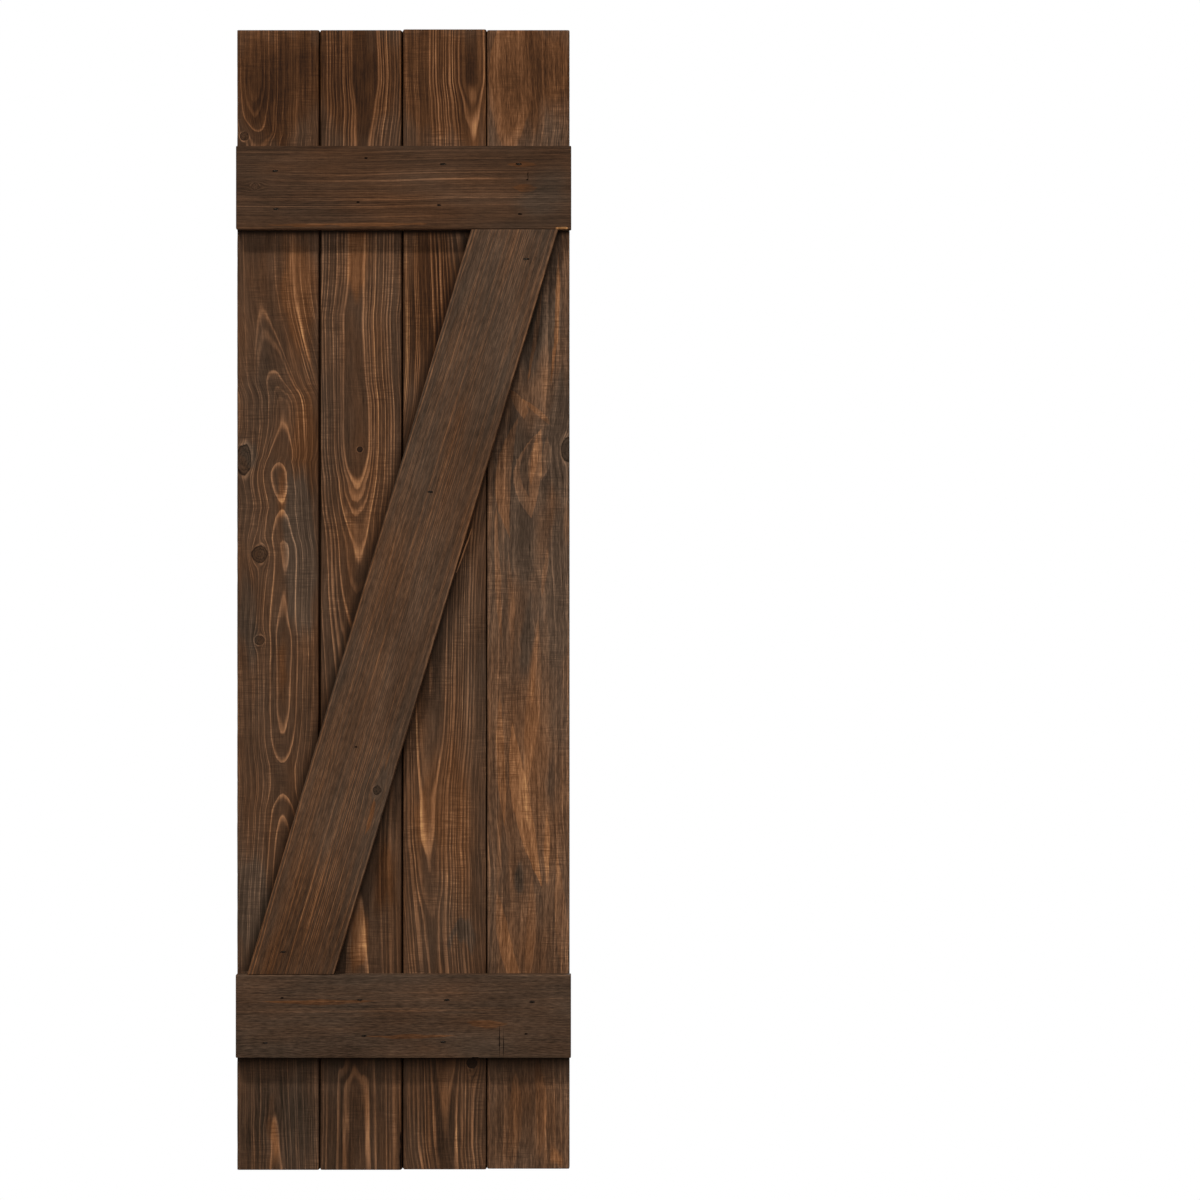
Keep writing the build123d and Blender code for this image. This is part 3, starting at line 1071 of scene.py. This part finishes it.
bottomBatten = {
    "node": "bottom_batten",
    "seed": 8.9,
    "turn": math.pi / 2,
    "heart": ((180, -54, 14.0), (60, -52, 14.0), (-60, -51, 14.0), (-180, -50, 14.0)),
    "rings": ((24, 1, 0.3), (31, 1, 0.4), (38, 1, 0.5), (47, 1, 0.4), (55, 1, 0.4), (61, 1, 0.3)),
    "staples": (
        (-146.5, -472, 0.9), (-128.4, -424, 0.6), (-45.3, -426.2, 0.9), (-41, -464.5, 0.9),
        (47.4, -426.2, 1), (43.1, -470.9, 1), (138, -428.3, 1), (131.6, -462.4, 0.6),
    ),
    "cracks": (
        (((103, -452), (103.6, -460), (103.1, -468), (103.5, -478), (103.2, -489)), 0.8, 2),
        (((107.6, -456), (107.2, -465), (107.8, -474), (107.3, -482), (107.6, -489)), 0.8, 2),
        (((104.8, -471), (102.8, -474), (103.4, -477)), 1.2, 1.2),
    ),
    "chips": (
        (((73, -489), (74, -486.8), (80.5, -486.9), (82, -489)), 1.5, 0.5, 9, 0.8, (77.5, -489.5), 0),
    ),
    "stripes": ((-9, 0, 28, 240, 0.6),),
    "flames": (
        ((8, 112), (6, 66), 1, 5, 0.03, 0.5), ((-18, -20), (-16, -150), 2, 3, 0.05, 0.7),
        ((20, 60), (21, -40), 1, 2.5, 0.05, 0.7),
    ),
    "rubbedAndLitEdges": ((-43.6, 0.14),),
    "lineGain": 0.3,
    "thinSpacing": 2.4,
    "thinGain": 0.15,
    "ripple": 0.15,
    "fibre": 0.45,
    "fibreLength": 90.0,
    "speckle": 0.75,
    "lineWarmth": 0.5,
    "tone": 0.33,
    "warmth": 0.12,
}
diagonalBrace = {
    "node": "diagonal_brace",
    "seed": 9.7,
    "heart": ((430, 60, 30.0), (0, 56, 32.0), (-430, 60, 30.0)),
    "rings": (
        (38, 0.9, 0.5), (44, 0.9, 0.5), (50, 1, 0.6), (56, 1, 0.7), (61, 1, 0.7), (67, 1, 0.6),
        (72, 1, 0.6), (77, 0.9, 0.5), (82, 0.9, 0.5), (87.5, 0.9, 0.5), (93, 0.9, 0.5), (98, 0.9, 0.4),
    ),
    "knots": ((33, -200, 4.6, 2.0, 1.0),),
    "staples": ((131.6, 363.3, 1), (29.3, 115.1, 1), (-49.6, -156.6, 0.6), (-127.3, -375, 1)),
    "stripes": ((20, -200, 30, 90, 0.5), (10, -330, 50, 80, 0.8)),
    "rubbedAndLitEdges": ((43.6, 0.1),),
    "knotTone": 0.24,
    "patches": ((0, -390, 90, 130, -0.11, 0.3), (0, 330, 90, 160, 0.0, -0.1), (0, 0, 90, 150, 0.02, 0.0)),
    "flames": (((31, -205), (33, -252), 2, 3, 0.12, 0.9), ((34, -180), (33, -150), -1, 2, 0.08, 0.6)),
    "lineGain": 0.34,
    "lineWarmth": 0.9,
    "thinSpacing": 1.7,
    "thinGain": 0.9,
    "ripple": 0.2,
    "fibre": 0.28,
    "blotch": 0.3,
    "fibreLength": 120.0,
    "speckle": 0.65,
    "tone": 0.355,
    "warmth": 0.22,
    "land": 0.0,
    "endArris": 0.5,
}

planks = {
    "leftOuterBoard": leftOuterBoard,
    "leftInnerBoard": leftInnerBoard,
    "rightInnerBoard": rightInnerBoard,
    "rightOuterBoard": rightOuterBoard,
    "topBatten": topBatten,
    "bottomBatten": bottomBatten,
    "diagonalBrace": diagonalBrace,
}
braceWidth = 88.9
braceCentre, braceSize = uprightPlace("diagonal_brace")
braceDiagonal = math.hypot(braceSize.x, braceSize.z)
braceLean = math.acos(braceWidth * mm / braceDiagonal) - math.atan2(braceSize.z, braceSize.x)
braceLeft = Vector((-math.cos(braceLean), 0, math.sin(braceLean)))
down = Vector((0, 0, -1))
# the corners of the boards darkened with painted shade, the wide one under the bottom batten a painted
# shadow: outward direction, where along it, width, how far up and down it reaches, and gain
paintedShadeLines = [(down, -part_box(node)[0][2], 0.008, 1.0, 0.85) for node in ("top_batten", "bottom_batten")]
paintedShadeLines.append((down, -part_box("bottom_batten")[0][2], 0.042, 1.0, 0.62))
for outward, width, gain in ((braceLeft, 0.015, 0.6), (-braceLeft, 0.007, 0.55)):
    offset = braceCentre.dot(outward) + braceWidth * mm / 2
    paintedShadeLines.append((outward, offset, width, braceSize.z / 2, gain))

crownSunk = 1.1 * mm  # from the face down to the middle of a staple's wire
leastStaple = 0.75  # a smaller slot is empty
stapleSpots = []
for name, choices in planks.items():
    plank = {**plankStock, **choices}
    if plank["node"].endswith("board"):
        plank["corners"] = paintedShadeLines
    centre, size = uprightPlace(plank["node"])
    plank["centre"] = centre
    size = size / mm
    if plank["turn"]:
        plank["width"], plank["length"] = size.z, size.x
    elif plank["node"] == "diagonal_brace":
        plank["lean"] = plank["turn"] = braceLean
        plank["width"] = braceWidth
        plank["length"] = size.z / math.cos(plank["lean"])
    else:
        plank["width"], plank["length"] = size.x, size.z
    plank["thickness"] = size.y
    piece = plankMesh(name, plank)
    piece.data.materials.append(stainedPine(name + "Pine", plank))
    if plank["staples"] or plank["chips"]:
        cutPlank(piece, plank)
    crownDepth = centre.y - size.y / 2 * mm + crownSunk
    stapleSpots += [(x * mm, crownDepth, z * mm) for x, z, share in plank["staples"] if share > leastStaple]
    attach(piece, body)
    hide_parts(plank["node"])
    print("made", name, "with", len(piece.data.polygons), "faces")

staples = stapleRow(stapleSpots)
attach(staples, body)
print("made", len(stapleSpots), "staples with", len(staples.data.polygons), "faces")


def splinter(name, points, width, thickness, material):
    # a sliver that stands off an edge: four-sided, thin and pointed; points are (x, y, z) in mm
    mesh = bmesh.new()
    rows = []
    for index, spot in enumerate(points):
        share = 0.15 + 0.85 * math.sin(math.pi * (0.15 + 0.75 * index / (len(points) - 1)))
        halfX, halfY = width / 2 * share, thickness / 2 * share
        offsets = ((-halfX, -halfY), (halfX, -halfY * 0.6), (halfX * 0.8, halfY), (-halfX, halfY))
        corners = [((spot[0] + x) * mm, (spot[1] + y) * mm, spot[2] * mm) for x, y in offsets]
        rows.append([mesh.verts.new(corner) for corner in corners])
    skin(mesh, rows)
    data = finishedMesh(mesh, name)
    data.materials.append(material)
    return addObject(name, data)


# a sliver of the brace's right edge that has sprung loose at its top
sprung = (
    (57.2, -36, 29), (59.3, -36.4, 34), (61.4, -36.8, 40), (63.8, -37, 47), (66.6, -37, 55), (69.6, -37, 63),
    (72, -36.9, 70), (73.6, -36.8, 76),
)
sliver = splinter("braceSplinter", sprung, 1.5, 1.3, bpy.data.materials["diagonalBracePine"])
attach(sliver, body)
print("made the brace's splinter")

# Stage: a pale floor below the shutter, a white surround, an overhead front light, two soft fills at
# the front and one behind for the views of the back
photo = {
    "size": 1200,  # pixels each way
    "pixel": 1.0695,  # mm on the boards' face
    "middle": 210.4,  # mm from the shutter's middle to the photograph's
    "distance": 5000.0,  # mm from the camera to the boards' face
}
faceDepth = cadBox[0][1] / 2
sensorWidth = 36.0

camera = bpy.data.cameras.new("frontView")
camera.sensor_width = sensorWidth
camera.lens = sensorWidth * photo["distance"] / (photo["size"] * photo["pixel"])
camera.clip_end = 100.0
cameraObject = addObject("frontView", camera)
cameraObject.location = (photo["middle"] * mm, faceDepth - photo["distance"] * mm, 0.0)
cameraObject.rotation_euler = (math.pi / 2, 0, 0)
bpy.context.scene.camera = cameraObject


def softLight(name, spot, target, width, height, power, colour):
    light = bpy.data.lights.new(name, "AREA")
    light.shape = "RECTANGLE"
    light.size = width
    light.size_y = height
    light.energy = power
    light.color = hexColour(colour)[:3]
    lamp = addObject(name, light)
    lamp.location = spot
    lamp.rotation_euler = (Vector(target) - Vector(spot)).to_track_quat("-Z", "Y").to_euler()


softLight("overheadKey", (-1.25, -3.1, 4.4), (0, 0, 0), 1.0, 0.35, 215, "#fff8ee")
softLight("rightFill", (1.1, -3.2, 0.9), (0, 0, 0), 2.2, 1.8, 36, "#ffffff")
softLight("leftFill", (-1.1, -3.2, 0.9), (0, 0, 0), 2.2, 1.8, 22, "#ffffff")
softLight("backFill", (0.6, 3.4, 1.2), (0, 0, 0), 2.2, 1.8, 60, "#ffffff")

world = bpy.data.worlds.new("whiteSurround")
bpy.context.scene.world = world
world.use_nodes = True
world.node_tree.nodes.clear()
add = partial(addNode, world.node_tree)
seen = add("ShaderNodeLightPath").outputs["Is Camera Ray"]
glow, backdrop = (
    add("ShaderNodeBackground", {"Color": hexColour("#ffffff"), "Strength": strength})
    for strength in (0.03, 1.0)
)
surround = add("ShaderNodeMixShader", {"Fac": seen, 1: glow, 2: backdrop})
add("ShaderNodeOutputWorld", {"Surface": surround})

floorMaterial, add = newMaterial("paleFloorPaint")
paint = {"Base Color": hexColour("#e9e7e3"), "Roughness": 0.8}
floorPaint = add("ShaderNodeBsdfPrincipled", paint)
add("ShaderNodeOutputMaterial", {"Surface": floorPaint})
floorHeight, floorHalf = -1.0, 1.4
floorMesh = bpy.data.meshes.new("paleFloor")
corners = [(x * floorHalf, y * floorHalf, floorHeight) for x, y in ((-1, -1), (1, -1), (1, 1), (-1, 1))]
floorMesh.from_pydata(corners, [], [(0, 1, 2, 3)])
floorMesh.materials.append(floorMaterial)
floor = addObject("paleFloor", floorMesh)

bpy.context.scene.view_settings.view_transform = "Standard"
print("stage set")
